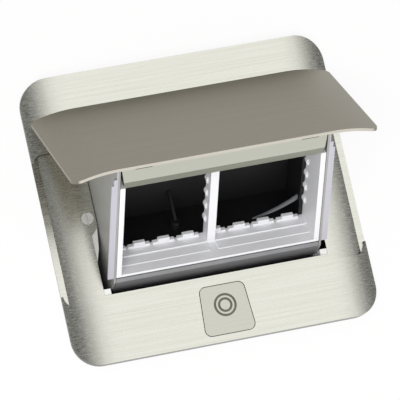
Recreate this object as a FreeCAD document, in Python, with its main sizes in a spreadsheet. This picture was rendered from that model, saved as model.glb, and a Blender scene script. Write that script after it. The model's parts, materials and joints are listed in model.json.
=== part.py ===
import FreeCAD, Part
import math
import os
import re
import Sketcher

# A pop-up floor socket box: a brushed metal trim frame let into the floor, a
# sprung cradle that carries the lid and two module bays, and a back box below.
# Millimetres. X to the right, Y to the rear, Z up. The origin is the middle of
# the back box's base. Each piece is drawn from the floor's surface, up or down,
# and then raised by the box's depth. The cradle stands open, as it is in use.

doc = FreeCAD.newDocument("FloorSocketBox")

SIZES = {
    # trim frame
    "frame_wide": 150, "frame_deep": 138, "frame_top": 6, "frame_corner": 13.5,
    "camber_run": 23, "camber_drop": 4, "recess_depth": 2.2, "fin_room": 1,
    "recess_front": 40.2, "recess_rear": 33.7, "ledge_wide": 3.2, "ledge_drop": 0.2,
    "fin_tip": 0.8, "bar_wall": 1.8, "bar_rim": 4, "bar_flat": 50,
    "side_room": 5.1, "opening_front": 37.1, "opening_rear": 24,
    "ear_wide": 3.7, "ear_front": 4.8, "ear_bevel": 3.5,
    "gasket_inset": 1.2, "gasket_wide": 2.2, "gasket_thick": 0.6,
    "screw_inset": 0.3, "screw_head": 5.9, "screw_proud": 0.5, "screw_seat": 1.3,
    "screw_shank": 3.5, "screw_long": 12, "screw_play": 0.15, "slot_cut": 0.8,
    # hinge and cradle
    "pivot_y": 47.6, "pivot_z": -9.5, "open_angle": 54,
    "lid_gap_front": 0.5, "lid_gap_rear": 1.2, "lid_gap_side": 1.4,
    "lid_thick": 1.4, "lid_corner": 5.3, "lid_heel": 2.5, "lid_bevel": 0.6,
    "panel_setback": 3.9, "panel_lean": 17.1, "panel_high": 68.6,
    "side_thick": 1, "flange_gap": 1.2, "flange_thick": 1,
    "flange_top": 66.5, "notch_low": 58, "notch_high": 61.5,
    "notch_wide": 1,
    "neck_round": 27.9, "neck_angle": 216, "hub_round": 8,
    "drum_gap": 3, "lip_gap": 0.6, "drum_thick": 1, "drum_end": 244, "shelf_deep": 14,
    "stop_round": 83.2, "stop_peg": 1.5, "stop_gap": 0.6, "stop_play": 0.3,
    "fit_play": 0.2, "stiffener_thick": 1.2, "stiffener_edge": 25.4, "bend_high": 9,
    "pad_thick": 0.5, "pad_round": 2, "pad_x": 40,
    # hinge pin
    "pin_round": 2.5, "pin_play": 0.05, "press_play": 0.02, "bush_round": 4, "bush_rim": 6,
    "bush_rim_thick": 0.8, "ear_gap": 0.3, "bracket_thick": 2, "bracket_high": 20,
    "bracket_foot": 12, "pin_tail": 2.2, "clip_round": 4.5, "clip_thick": 0.7,
    "coil_round": 4.2, "coil_wire": 0.7, "coil_turns": 5, "coil_play": 1.2,
    "press_round": 1.3, "press_wire": 0.6, "press_turns": 5,
    # modules
    "bay_wide": 45.2, "bay_high": 54, "bay_sill": 1.3, "bay_wall": 2.7,
    "mullion_wide": 4, "mullion_back": 11, "module_deep": 17.5,
    "step_deep": 5.5, "step_low": 0.3, "step_high": 0.9,
    "tooth_pitch": 12, "tooth_start": 1.3, "tooth_wide": 10.6, "tooth_crown": 5.6,
    "tooth_high": 1.2, "tooth_deep": 2, "tooth_back": 14.5,
    "scallop_round": 2.4, "scallop_pitch": 8, "scallop_deep": 3,
    "shell_gap": 2.9, "shell_deep": 20.5, "shell_wall": 1.6, "shell_low": 0.6,
    "bar_gap": 0.3, "bar_back": 3, "bar_proud": 0.9, "bar_crease": 59.6,
    "bar_end_cut": 2,
    "boss_round": 2.3, "boss_tall": 4.6, "boss_x": 13.5, "boss_back": 24,
    "tail_wide": 1.3, "tail_run": 12, "tail_rise": 8.4,
    "strap_wide": 2.5, "strap_thick": 1, "strap_x": 26, "strap_rise": 7.6,
    "strap_bow": 60, "strap_back": 20,
    # button and latch
    "button_rear": 42.4, "button_front": 65.5, "button_narrow": 21.4,
    "button_broad": 24.6, "button_thick": 1.8, "button_gap": 0.35,
    "button_corner": 3, "housing_room": 0.4, "button_travel": 1.5, "well_floor": 2.6,
    "ring_outer": 5.5, "ring_inner": 3.5, "ring_line": 1.1, "ring_deep": 0.4,
    "ring_y": 52, "stem_half": 3, "stem_front": 58.6, "stem_rear": 54.6,
    "stem_knee": 1.2, "stem_low": 7, "stem_play": 0.2,
    "bolt_half": 9, "bolt_top": 0.4, "bolt_low": 6.5, "bolt_front": 59,
    "bolt_rear": 42.9, "nose_half": 5, "nose_top": 1.6, "nose_tip": 37.2,
    "housing_wall": 1.2, "housing_front": 63.6, "housing_rear": 41.5,
    "housing_deep": 16, "lug_wide": 5, "lug_thick": 2,
    # back box
    "box_room": 2.4, "hinge_back": 12.4, "box_deep": 88,
    "box_wall": 1.2, "box_corner": 4, "box_lug": 10, "box_lug_thick": 2,
    "entry_round": 10.25, "entry_z": 62, "entry_y": 0, "entry_x": 30,
    "fixing_round": 2.5, "fixing_x": 80, "fixing_y": 80,
    "pan_round": 3, "pan_high": 1.8, "pan_shank": 1.5, "pan_bite": 3.5,
    # nylon pieces
    "buffer_wide": 3.4, "buffer_deep": 2.9, "buffer_top": 3.4, "buffer_low": 3,
    "guide_wide": 3.5, "guide_front": 21.6, "guide_top": 3.2, "guide_low": 2.6,
}

sheet = doc.addObject("Spreadsheet::Sheet", "Sizes")
for row, (alias, size) in enumerate(SIZES.items(), start=1):
    sheet.set(f"A{row}", str(size))
    sheet.setAlias(f"A{row}", alias)
doc.recompute()


# Sizes that follow from others, from the module bays outwards.
FOLLOWS = {
    "side_inner": "(mullion_wide / 2 + bay_wide + bay_wall)",
    "opening_half": "(side_inner + side_room)",
    "ear_half": "(opening_half - ear_wide)",
    "screw_x": "(opening_half + screw_inset)",
    "flange_half": "(opening_half - flange_gap)",
    "stop_reach": "(opening_half - stop_gap)",
    "buffer_inner": "(opening_half - buffer_wide)",
    "guide_inner": "(opening_half - guide_wide)",
    "shell_half": "(side_inner - shell_gap)",
    "module_rise": "(bay_sill + bay_high)",
    "bar_low": "(module_rise + bar_gap)",
    "box_half": "(opening_half + box_room)",
    "box_rear": "(pivot_y + hinge_back)",
    "box_front": "(housing_front + housing_room)",
    "floor_up": "(box_deep + box_wall)",
}


# ---------------------------------------------------------------- helpers

def spell_out(text):
    """Write each size that follows from others as its formula."""
    def formula(found):
        name = found.group(0)
        return spell_out(FOLLOWS[name]) if name in FOLLOWS else name
    return re.sub(r"[a-z]+(_[a-z]+)+", formula, str(text))


def bound(text):
    """A formula on size names, written as an expression on the sheet."""
    return re.sub(r"[a-z]+(_[a-z]+)+", lambda m: "Sizes." + m.group(0), spell_out(text))


def value(text):
    """The present value of a formula on size names."""
    found = sheet.evalExpression(spell_out(text))
    return float(getattr(found, "Value", found))


def new_body(label):
    """A body that is drawn from the floor's surface and raised with it."""
    body = doc.addObject("PartDesign::Body", label)
    body.Label = label
    body.AllowCompound = True
    body.setExpression("Placement.Base.z", bound("floor_up"))
    return body


def new_sketch(body, role, lift="0"):
    """A sketch on one of the body's own origin planes, lifted along its normal."""
    plane = next(f for f in body.Origin.OriginFeatures if f.Role == role)
    sketch = body.newObject("Sketcher::SketchObject", body.Label + "_sketch")
    sketch.AttachmentSupport = (plane, "")
    sketch.MapMode = "FlatFace"
    sketch.setExpression("AttachmentOffset.Base.z", bound(lift))
    return sketch


def pin_point(sketch, geometry, end, x, y):
    """Hold a point at two bound distances from the sketch's origin."""
    for kind, text in (("DistanceX", x), ("DistanceY", y)):
        rule = Sketcher.Constraint(kind, -1, 1, geometry, end, value(text))
        index = sketch.addConstraint(rule)
        sketch.setExpression(f"Constraints[{index}]", bound(text))


def bind_radius(sketch, geometry, text):
    index = sketch.addConstraint(Sketcher.Constraint("Radius", geometry, value(text)))
    sketch.setExpression(f"Constraints[{index}]", bound(text))


def circle(sketch, x, y, radius):
    centre = FreeCAD.Vector(value(x), value(y), 0)
    shape = Part.Circle(centre, FreeCAD.Vector(0, 0, 1), value(radius))
    index = sketch.addGeometry(shape, False)
    pin_point(sketch, index, 3, x, y)
    bind_radius(sketch, index, radius)


def bowed(start, end, radius):
    """The middle of the short arc between two points; radius > 0 bulges right."""
    chord = end - start
    half = chord.Length / 2
    rise = abs(radius) - math.sqrt(max(radius * radius - half * half, 0))
    right = FreeCAD.Vector(chord.y, -chord.x, 0).normalize()
    return (start + end) / 2 + right * math.copysign(rise, radius)


def add_arc(sketch, start, through, end):
    """An arc from start to end, and the numbers of its two ends. A sketch runs
    its arcs anticlockwise, so one that turns the other way is drawn backwards."""
    turn = (through - start).cross(end - through).z
    ends = (start, through, end) if turn > 0 else (end, through, start)
    index = sketch.addGeometry(Part.Arc(*ends), False)
    return (index, 1, 2) if turn > 0 else (index, 2, 1)


def outline(sketch, corners):
    """A closed outline, anticlockwise. A corner is (x, y), (x, y, "round", radius)
    for a rounded corner, or (x, y, "arc", radius) where the side that leaves it
    is an arc: a positive radius bulges outwards, a negative one inwards."""
    count = len(corners)
    at = [FreeCAD.Vector(value(c[0]), value(c[1]), 0) for c in corners]
    kind = [c[2] if len(c) > 2 else "" for c in corners]
    size = [value(c[3]) if len(c) > 2 else 0 for c in corners]
    arrive, leave, middle = list(at), list(at), {}
    for i in range(count):
        if kind[i] != "round":
            continue
        back = (at[i - 1] - at[i]).normalize()
        ahead = (at[(i + 1) % count] - at[i]).normalize()
        half = back.getAngle(ahead) / 2
        arrive[i] = at[i] + back * (size[i] / math.tan(half))
        leave[i] = at[i] + ahead * (size[i] / math.tan(half))
        inward = (back + ahead).normalize()
        middle[i] = at[i] + inward * (size[i] / math.sin(half) - size[i])
    sides = []
    for i in range(count):
        start, end = leave[i], arrive[(i + 1) % count]
        if kind[i] == "arc":
            sides.append(add_arc(sketch, start, bowed(start, end, size[i]), end))
            bind_radius(sketch, sides[-1][0], corners[i][3].lstrip("-"))
        else:
            sides.append((sketch.addGeometry(Part.LineSegment(start, end), False), 1, 2))
    for i in range(count):
        before, after = sides[i - 1], sides[i]
        if kind[i] != "round":
            rule = Sketcher.Constraint("Coincident", before[0], before[2], after[0], after[1])
            sketch.addConstraint(rule)
            pin_point(sketch, after[0], after[1], corners[i][0], corners[i][1])
            continue
        arc, near, far = add_arc(sketch, arrive[i], middle[i], leave[i])
        sketch.addConstraint(Sketcher.Constraint("Tangent", before[0], before[2], arc, near))
        sketch.addConstraint(Sketcher.Constraint("Tangent", arc, far, after[0], after[1]))
        bind_radius(sketch, arc, corners[i][3])
        point = sketch.addGeometry(Part.Point(at[i]), True)
        sketch.addConstraint(Sketcher.Constraint("PointOnObject", point, 1, before[0]))
        sketch.addConstraint(Sketcher.Constraint("PointOnObject", point, 1, after[0]))
        pin_point(sketch, point, 1, corners[i][0], corners[i][1])


def rectangle(sketch, left, front, right, rear, corner=None):
    spots = [(left, front), (right, front), (right, rear), (left, rear)]
    if corner:
        spots = [(x, y, "round", corner) for x, y in spots]
    outline(sketch, spots)


def pad(body, sketch, length, both=False):
    feature = body.newObject("PartDesign::Pad", body.Label + "_pad")
    feature.Profile = sketch
    feature.setExpression("Length", bound(length))
    if both:
        feature.SideType = "Symmetric"
    return feature


def pocket(body, sketch, length, both=False):
    """Cuts against the sketch's normal, or evenly to both sides of it."""
    feature = body.newObject("PartDesign::Pocket", body.Label + "_pocket")
    feature.Profile = sketch
    feature.setExpression("Length", bound(length))
    if both:
        feature.SideType = "Symmetric"
    return feature


def block(body, left, front, low, right, rear, high, corner=None):
    """Add a rectangular pad between two corners."""
    sketch = new_sketch(body, "XY_Plane", low)
    rectangle(sketch, left, front, right, rear, corner)
    return pad(body, sketch, f"({high}) - ({low})")


def clear(body, left, front, low, right, rear, high, corner=None):
    """Cut a rectangular space between two corners."""
    sketch = new_sketch(body, "XY_Plane", high)
    rectangle(sketch, left, front, right, rear, corner)
    return pocket(body, sketch, f"({high}) - ({low})")


def row_of(body, feature, axis, pitch, count):
    """Repeat a feature along an axis of the body's origin."""
    row = body.newObject("PartDesign::LinearPattern", body.Label + "_row")
    row.Originals = [feature]
    row.Direction = (axis, [""])
    row.Reversed = pitch.startswith("-")
    row.setExpression("Length", bound(f"{pitch.lstrip('-')} * ({count} - 1)"))
    row.setExpression("Occurrences", bound(count))
    body.Tip = row
    return row


def hang(body):
    """Swing a body modelled shut, about the hinge, to where it stands open."""
    body.setExpression("Placement.Base.y", bound("pivot_y"))
    body.setExpression("Placement.Base.z", bound("pivot_z + floor_up"))
    body.Placement.Rotation = FreeCAD.Rotation(FreeCAD.Vector(1, 0, 0), -1)
    body.setExpression("Placement.Rotation.Angle", bound("open_angle * -1deg"))


# Formulas that several pieces share. The cradle is modelled shut, with the
# hinge axis as its origin; "rise" runs up the panel and "depth" goes behind it.
CAMBER_ROUND = "((camber_run ^ 2 + camber_drop ^ 2) / (2 * camber_drop))"
RECESS_TOP = "(frame_top - recess_depth)"
FLAT_HALF = "(frame_wide / 2 - camber_run)"
LID_FRONT = "(-(pivot_y + recess_front - lid_gap_front))"
LID_REAR = "(-(pivot_y - recess_rear + lid_gap_rear))"
LID_HALF = "(frame_wide / 2 - lid_gap_side)"
LID_TOP = "(frame_top - pivot_z)"
LID_UNDER = f"({LID_TOP} - lid_thick)"
PANEL_TOP = f"({LID_FRONT} + panel_setback)"


LUG_X = "(bolt_half + stem_play + housing_wall + lug_wide)"
LUG_Y = "((button_front + button_rear) / 2 - 2)"


def camber_fall(run):
    """How far the cambered end has fallen, so far out from the flat."""
    return f"({CAMBER_ROUND} - sqrt({CAMBER_ROUND} ^ 2 - ({run}) ^ 2))"


def panel_spot(rise, depth="0"):
    """A point of the leaning panel, in the shut cradle's own frame."""
    along = f"(panel_high - ({rise}))"
    y = f"({PANEL_TOP} + {along} * sin(panel_lean) + ({depth}) * cos(panel_lean))"
    z = f"({LID_UNDER} - {along} * cos(panel_lean) + ({depth}) * sin(panel_lean))"
    return y, z


def polar(radius, angle):
    return f"({radius}) * cos({angle})", f"({radius}) * sin({angle})"


DRUM_Y, DRUM_Z = panel_spot("-drum_gap")
DRUM_ROUND = f"sqrt({DRUM_Y} ^ 2 + {DRUM_Z} ^ 2)"
DRUM_START = f"(180deg + atan({DRUM_Z} / {DRUM_Y}))"


def lean_back(body):
    """Place a body drawn flat, rise along Y and front along Z, on the open panel."""
    y, z = panel_spot("0")
    turn = "(90 + panel_lean - open_angle)"
    base_y = f"pivot_y + cos(open_angle) * {y} + sin(open_angle) * {z}"
    base_z = f"floor_up + pivot_z - sin(open_angle) * {y} + cos(open_angle) * {z}"
    body.setExpression("Placement.Base.y", bound(base_y))
    body.setExpression("Placement.Base.z", bound(base_z))
    body.Placement.Rotation = FreeCAD.Rotation(FreeCAD.Vector(1, 0, 0), 1)
    body.setExpression("Placement.Rotation.Angle", bound(turn + " * 1deg"))


# ------------------------------------------------------------- trim frame

def camber_cut(body, top, reach, ledge):
    """Cut away all that lies above a cambered top, flat in the middle. Outside
    the reach of the camber the cut goes on, level, a ledge's drop lower."""
    edge = f"({top} - {camber_fall(reach)})"
    outer = f"({FLAT_HALF} + {reach})"
    far = "(frame_wide / 2 + 1)"
    end = f"({edge} - {ledge})"
    sketch = new_sketch(body, "XZ_Plane")
    outline(sketch, [
        (f"-{far}", end), (f"-{outer} - 0.01", end),
        (f"-{outer}", edge, "arc", f"-{CAMBER_ROUND}"),
        (f"-{FLAT_HALF}", top), (FLAT_HALF, top, "arc", f"-{CAMBER_ROUND}"),
        (outer, edge), (f"{outer} + 0.01", end), (far, end),
        (far, "2 * frame_top"), (f"-{far}", "2 * frame_top"),
    ])
    return pocket(body, sketch, "2 * frame_deep", both=True)


def button_shape(sketch, gap="0"):
    """The button's outline, wider towards the front, grown by a gap all round."""
    narrow = f"(button_narrow / 2 + {gap})"
    broad = f"(button_broad / 2 + {gap})"
    front = f"-(button_front + {gap})"
    rear = f"-(button_rear - {gap})"
    corner = f"button_corner + {gap}"
    outline(sketch, [
        (f"-{broad}", front, "round", corner), (broad, front, "round", corner),
        (narrow, rear, "round", corner), (f"-{narrow}", rear, "round", corner),
    ])


def bar_outline(body, edge, side, corner):
    """One raised bar with two fins, which clear the lid's corners; side is -1 in
    front and 1 at the rear."""
    half = "(frame_wide / 2)"
    tip = f"({half} - fin_tip)"
    bend = f"({corner} + fin_room)"
    root = f"({tip} - {bend})"
    step = f"{side} * {edge}"
    fin = f"{side} * ({edge} - {bend})"
    outer = f"{side} * frame_deep / 2"
    ring = [
        (f"-{half}", outer, "round", "frame_corner"), (half, outer, "round", "frame_corner"),
        (half, fin), (tip, fin, "arc", f"-{bend}"), (root, step),
        (f"-{root}", step, "arc", f"-{bend}"), (f"-{tip}", fin), (f"-{half}", fin),
    ]
    if side > 0:
        ring = [(f"-({x})", *rest) for x, *rest in ring]
    sketch = new_sketch(body, "XY_Plane")
    outline(sketch, ring)
    return pad(body, sketch, "frame_top")


def make_trim_frame():
    body = new_body("trim_frame")
    half = "(frame_wide / 2)"
    deep = "(frame_deep / 2)"
    block(body, f"-{half}", f"-{deep}", "0", half, deep, "frame_top", "frame_corner")
    camber_cut(body, RECESS_TOP, "(camber_run - ledge_wide)", "ledge_drop")
    bar_outline(body, "recess_front", -1, "lid_corner")
    bar_outline(body, "recess_rear", 1, "lid_heel")
    camber_cut(body, "frame_top", "camber_run", "0")
    opening = new_sketch(body, "XY_Plane", "frame_top")
    outline(opening, [
        ("-opening_half", "-opening_front"), ("opening_half", "-opening_front"),
        ("opening_half", "-(ear_front + ear_bevel)"), ("ear_half", "-ear_front"),
        ("ear_half", "opening_rear"), ("-ear_half", "opening_rear"),
        ("-ear_half", "-ear_front"), ("-opening_half", "-(ear_front + ear_bevel)"),
    ])
    pocket(body, opening, "2 * frame_top")
    # hollows under the bars, either side of the button and along the rear
    hollow = "frame_top - bar_wall"
    lane = ("-frame_deep / 2 + bar_rim", "-recess_front - bar_rim")
    near = "(button_broad / 2 + 2 * bar_rim)"
    clear(body, f"-bar_flat", lane[0], "0", f"-{near}", lane[1], hollow)
    clear(body, near, lane[0], "0", "bar_flat", lane[1], hollow)
    clear(body, "-bar_flat", "recess_rear + bar_rim", "0",
          "bar_flat", "frame_deep / 2 - bar_rim", hollow)
    # the button's well, the hole for its stem and the channel of the bolt's nose
    well = new_sketch(body, "XY_Plane", "frame_top")
    button_shape(well, "button_gap")
    pocket(body, well, "frame_top - well_floor")
    clear(body, "-(stem_half + stem_play)", "-(stem_front + stem_play)", "0",
          "stem_half + stem_play", "-(stem_rear - stem_knee - stem_play)", "well_floor")
    clear(body, "-(nose_half + stem_play)", "-(bolt_rear + 2 * button_travel)", "0",
          "nose_half + stem_play", "-opening_front", "nose_top + stem_play")
    for side in ("-", ""):
        hole = new_sketch(body, "XY_Plane", "pan_bite + stem_play")
        circle(hole, f"{side}{LUG_X}", f"-{LUG_Y}", "pan_shank + press_play")
        pocket(body, hole, "pan_bite + stem_play")
    # the gasket's groove, and the seats of the two fixing screws
    groove = new_sketch(body, "XY_Plane", "gasket_thick")
    inset, inner = "gasket_inset", "(gasket_inset + gasket_wide)"
    for edge in (inset, inner):
        rectangle(groove, f"-({half} - {edge})", f"-({deep} - {edge})",
                  f"{half} - {edge}", f"{deep} - {edge}", f"frame_corner - {edge} / 2")
    pocket(body, groove, "gasket_thick")
    for side in ("-", ""):
        hole = new_sketch(body, "XY_Plane", "frame_top")
        circle(hole, f"{side}screw_x", "0", "screw_shank / 2 + screw_play")
        pocket(body, hole, "2 * frame_top")
        seat = new_sketch(body, "XY_Plane", "frame_top")
        circle(seat, f"{side}screw_x", "0", "screw_head / 2 + screw_play")
        pocket(body, seat, "recess_depth + screw_seat")
    return body


def make_gasket():
    body = new_body("floor_gasket")
    sketch = new_sketch(body, "XY_Plane")
    for edge in ("(gasket_inset + press_play)", "(gasket_inset + gasket_wide - press_play)"):
        rectangle(sketch, f"-(frame_wide / 2 - {edge})", f"-(frame_deep / 2 - {edge})",
                  f"frame_wide / 2 - {edge}", f"frame_deep / 2 - {edge}",
                  f"frame_corner - {edge} / 2")
    pad(body, sketch, "gasket_thick")
    return body


def make_frame_screws():
    """Two slotted screws down through the frame's ears into the box."""
    body = new_body("frame_screws")
    seat = "(frame_top - recess_depth - screw_seat)"
    top = "(frame_top - recess_depth + screw_proud)"
    for reach, low, high in (("screw_head / 2", seat, top),
                             ("screw_shank / 2", f"{seat} - screw_long", seat)):
        sketch = new_sketch(body, "XY_Plane", low)
        circle(sketch, "-screw_x", "0", reach)
        circle(sketch, "screw_x", "0", reach)
        pad(body, sketch, f"{high} - ({low})")
    for side in ("-", ""):
        clear(body, f"{side}screw_x - slot_cut / 2", "-screw_head", f"{top} - slot_cut",
              f"{side}screw_x + slot_cut / 2", "screw_head", top)
    return body


# ---------------------------------------------------------------- back box

def make_back_box():
    body = new_body("back_box")
    outer = "(box_half + box_wall)"
    block(body, f"-{outer}", "-(box_front + box_wall)", "-(box_deep + box_wall)",
          outer, "box_rear + box_wall", "0", "box_corner")
    clear(body, "-box_half", "-box_front", "-box_deep",
          "box_half", "box_rear", "0", "box_corner - box_wall")
    # lugs for the frame's screws, one each side
    for left, right in (("-box_half - box_wall / 2", "-ear_half"),
                        ("ear_half", "box_half + box_wall / 2")):
        block(body, left, "-box_lug / 2", "-box_lug_thick", right, "box_lug / 2", "0")
    for side in ("-", ""):
        hole = new_sketch(body, "XY_Plane", "0")
        circle(hole, f"{side}screw_x", "0", "screw_shank / 2 + press_play")
        pocket(body, hole, "box_lug_thick")
    # four fixing holes in the base, and conduit entries in the sides and rear
    holes = new_sketch(body, "XY_Plane", "-box_deep")
    for x in ("-fixing_x / 2", "fixing_x / 2"):
        for y in ("-fixing_y / 2", "fixing_y / 2"):
            circle(holes, x, y, "fixing_round")
    pocket(body, holes, "2 * box_wall")
    entries = new_sketch(body, "YZ_Plane")
    circle(entries, "entry_y", "-entry_z", "entry_round")
    pocket(body, entries, "4 * box_half", both=True)
    rear = new_sketch(body, "XZ_Plane", "-(box_rear + 2 * box_wall)")
    for x in ("-entry_x", "entry_x"):
        circle(rear, x, "-entry_z", "entry_round")
    cut = pocket(body, rear, "4 * box_wall")
    cut.Reversed = True
    return body


def make_grommets():
    """Blind rubber grommets that close the two rear entries."""
    body = new_body("conduit_grommets")
    for lift, length, reach in (
            ("-(box_rear + 2 * box_wall)", "box_wall", "entry_round + 2 * box_wall"),
            ("-(box_rear + box_wall)", "2 * box_wall", "entry_round - press_play")):
        sketch = new_sketch(body, "XZ_Plane", lift)
        for x in ("-entry_x", "entry_x"):
            circle(sketch, x, "-entry_z", reach)
        pad(body, sketch, length)
    return body


def make_bracket(side):
    """An ear for the pin, folded out of a foot that lies on the rear wall."""
    left = side < 0
    body = new_body("hinge_bracket_left" if left else "hinge_bracket_right")
    ear = "(side_inner + side_thick + bush_rim_thick + ear_gap)"
    far = f"({ear} + bracket_thick)"
    span = (f"-{far}", f"-{ear}") if left else (ear, far)
    foot = (f"-{far}", f"-({far} - bracket_foot)") if left else (f"{far} - bracket_foot", far)
    low, high = "(pivot_z - bracket_high / 2)", "(pivot_z + bracket_high / 2 - 1.5 * bracket_thick)"
    block(body, span[0], "pivot_y - bracket_high / 2", low, span[1], "box_rear", high)
    block(body, foot[0], "box_rear - bracket_thick", low, foot[1], "box_rear", high)
    hole = new_sketch(body, "YZ_Plane", span[1])
    circle(hole, "pivot_y", "pivot_z", "pin_round + press_play")
    pocket(body, hole, "bracket_thick")
    return body


EAR_FACE = "(side_inner + side_thick + bush_rim_thick + ear_gap + bracket_thick)"
PIN_HALF = f"({EAR_FACE} + pin_tail)"


def make_pin():
    body = new_body("hinge_pin")
    sketch = new_sketch(body, "YZ_Plane")
    circle(sketch, "pivot_y", "pivot_z", "pin_round")
    pad(body, sketch, f"2 * {PIN_HALF}", both=True)
    return body


def make_pin_clips():
    """Two retaining rings, snapped onto the pin outside its ears."""
    body = new_body("pin_clips")
    grip = "(pin_round + press_play)"
    for lift in (f"-({EAR_FACE} + clip_thick)", EAR_FACE):
        sketch = new_sketch(body, "YZ_Plane", lift)
        outline(sketch, [
            ("pivot_y - clip_round", "pivot_z", "arc", "clip_round"),
            ("pivot_y", "pivot_z - clip_round", "arc", "clip_round"),
            ("pivot_y + clip_round", "pivot_z"),
            (f"pivot_y + {grip}", "pivot_z", "arc", f"-{grip}"),
            ("pivot_y", f"pivot_z - {grip}", "arc", f"-{grip}"),
            (f"pivot_y - {grip}", "pivot_z"),
        ])
        pad(body, sketch, "clip_thick")
    return body


def bar_between(start, end, wide):
    """A straight bar of square section between two points."""
    run = end - start
    side = run.cross(FreeCAD.Vector(1, 0, 0)).normalize() * (wide / 2)
    flat = FreeCAD.Vector(wide / 2, 0, 0)
    corners = [start + flat + side, start - flat + side, start - flat - side, start + flat - side]
    return Part.Face(Part.makePolygon(corners + corners[:1])).extrude(run)


def coil_ring(middle, along, reach, wire, long):
    """One turn of a coil, drawn as a twelve-sided ring."""
    turn = FreeCAD.Rotation(FreeCAD.Vector(0, 0, 1), along)
    rims = []
    for radius in (reach + wire, reach - wire):
        spots = [middle + turn.multVec(FreeCAD.Vector(radius * math.cos(a), radius * math.sin(a), 0))
                 for a in (math.radians(30 * i) for i in range(12))]
        rims.append(Part.Face(Part.makePolygon(spots + spots[:1])).extrude(along * long))
    return rims[0].cut(rims[1])


def make_spring(side):
    """A torsion spring about the pin: close coils on a thin core, with two
    straight legs. The wire's section is drawn square."""
    spring = doc.addObject("Part::Feature", "spring_left" if side < 0 else "spring_right")
    spring.Label = "torsion_spring_left" if side < 0 else "torsion_spring_right"
    wire, reach, turns = value("coil_wire"), value("coil_round"), int(value("coil_turns"))
    long = 2 * wire * turns
    foot = FreeCAD.Vector(side * value("side_inner - coil_play"), value("pivot_y"), value("pivot_z"))
    along, up = FreeCAD.Vector(-side, 0, 0), FreeCAD.Vector(0, 0, 1)
    rings = [coil_ring(foot + along * (2 * wire * turn), along, reach, wire, 1.4 * wire)
             for turn in range(turns)]
    core = coil_ring(foot, along, reach - wire / 2, wire / 2, long)
    back = value("box_rear - bracket_thick - pivot_y") - wire
    lean = math.radians(180 - value("neck_angle") + value("open_angle"))
    ahead = FreeCAD.Vector(0, -math.cos(lean), math.sin(lean) - 1).normalize()
    first = foot + along * (long - wire) - up * reach
    last = foot + along * wire + up * reach
    legs = [bar_between(first, first + FreeCAD.Vector(0, back, 0), 1.6 * wire),
            bar_between(last, last + ahead * 2.2 * reach, 1.6 * wire)]
    spring.Shape = core.multiFuse(rings + legs)
    spring.Placement.Base.z = value("floor_up")
    return spring


# ------------------------------------------------------------------ cradle

def make_lid():
    """A cambered plate, bowed like the frame, with rounded corners."""
    body = new_body("lid")
    reach = "(camber_run - lid_gap_side)"
    edge = f"({LID_TOP} - {camber_fall(reach)})"
    sketch = new_sketch(body, "XZ_Plane", f"-{LID_REAR}")
    outline(sketch, [
        (f"-{LID_HALF}", f"{edge} - lid_thick", "arc", f"-{CAMBER_ROUND}"),
        (f"-{FLAT_HALF}", LID_UNDER), (FLAT_HALF, LID_UNDER, "arc", f"-{CAMBER_ROUND}"),
        (LID_HALF, f"{edge} - lid_thick"), (LID_HALF, edge, "arc", CAMBER_ROUND),
        (FLAT_HALF, LID_TOP), (f"-{FLAT_HALF}", LID_TOP, "arc", CAMBER_ROUND),
        (f"-{LID_HALF}", edge),
    ])
    pad(body, sketch, f"{LID_REAR} - {LID_FRONT}")
    # trim it to its rounded outline, and bevel the edge that passes the rear bar
    trim = new_sketch(body, "XY_Plane", LID_TOP)
    rectangle(trim, "-frame_wide", f"{LID_FRONT} - 10", "frame_wide", f"{LID_REAR} + 10")
    outline(trim, [
        (f"-{LID_HALF}", LID_FRONT, "round", "lid_corner"),
        (LID_HALF, LID_FRONT, "round", "lid_corner"),
        (LID_HALF, LID_REAR, "round", "lid_heel"), (f"-{LID_HALF}", LID_REAR, "round", "lid_heel"),
    ])
    pocket(body, trim, f"{LID_TOP} - {LID_UNDER} + 2 * camber_drop")
    bevel = new_sketch(body, "YZ_Plane")
    outline(bevel, [
        (f"{LID_REAR} - lid_bevel", f"{LID_UNDER} - 1"), (f"{LID_REAR} + 1", f"{LID_UNDER} - 1"),
        (f"{LID_REAR} + 1", f"{LID_UNDER} + lid_bevel + 1"),
        (f"{LID_REAR} - lid_bevel", f"{LID_UNDER}"),
    ])
    pocket(body, bevel, f"2 * {FLAT_HALF}", both=True)
    hang(body)
    return body


def make_stiffener():
    """A folded plate under the lid that ties the two side plates together."""
    body = new_body("lid_stiffener")
    half = "(side_inner - fit_play)"
    front, rear = f"({PANEL_TOP} + bar_back + fit_play + 1)", "-stiffener_edge"
    low = f"({LID_UNDER} - stiffener_thick)"
    block(body, f"-{half}", front, low, half, rear, LID_UNDER)
    past = f"({panel_spot('module_rise', 'module_deep')[0]} + 1)"
    for left, right in ((f"-{half}", f"-({half} - stiffener_thick)"),
                        (f"{half} - stiffener_thick", half)):
        block(body, left, past, f"{low} - bend_high",
              right, f"{rear} - bend_high / 2", low)
    hang(body)
    return body


def make_lid_pads():
    """Rubber feet under the lid, so that it shuts without a knock."""
    body = new_body("lid_pads")
    low = f"{LID_UNDER} - pad_thick"
    rear = new_sketch(body, "XY_Plane", low)
    front = new_sketch(body, "XY_Plane", low)
    for side in ("-", ""):
        circle(rear, f"{side}pad_x", f"{LID_REAR} - 2 * pad_round", "pad_round")
        rectangle(front, f"{side}pad_x - 2 * pad_round", f"{LID_FRONT} + pad_round / 4",
                  f"{side}pad_x + 2 * pad_round", f"{LID_FRONT} + pad_round")
    pad(body, rear, "pad_thick")
    pad(body, front, "pad_thick")
    hang(body)
    return body


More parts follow.
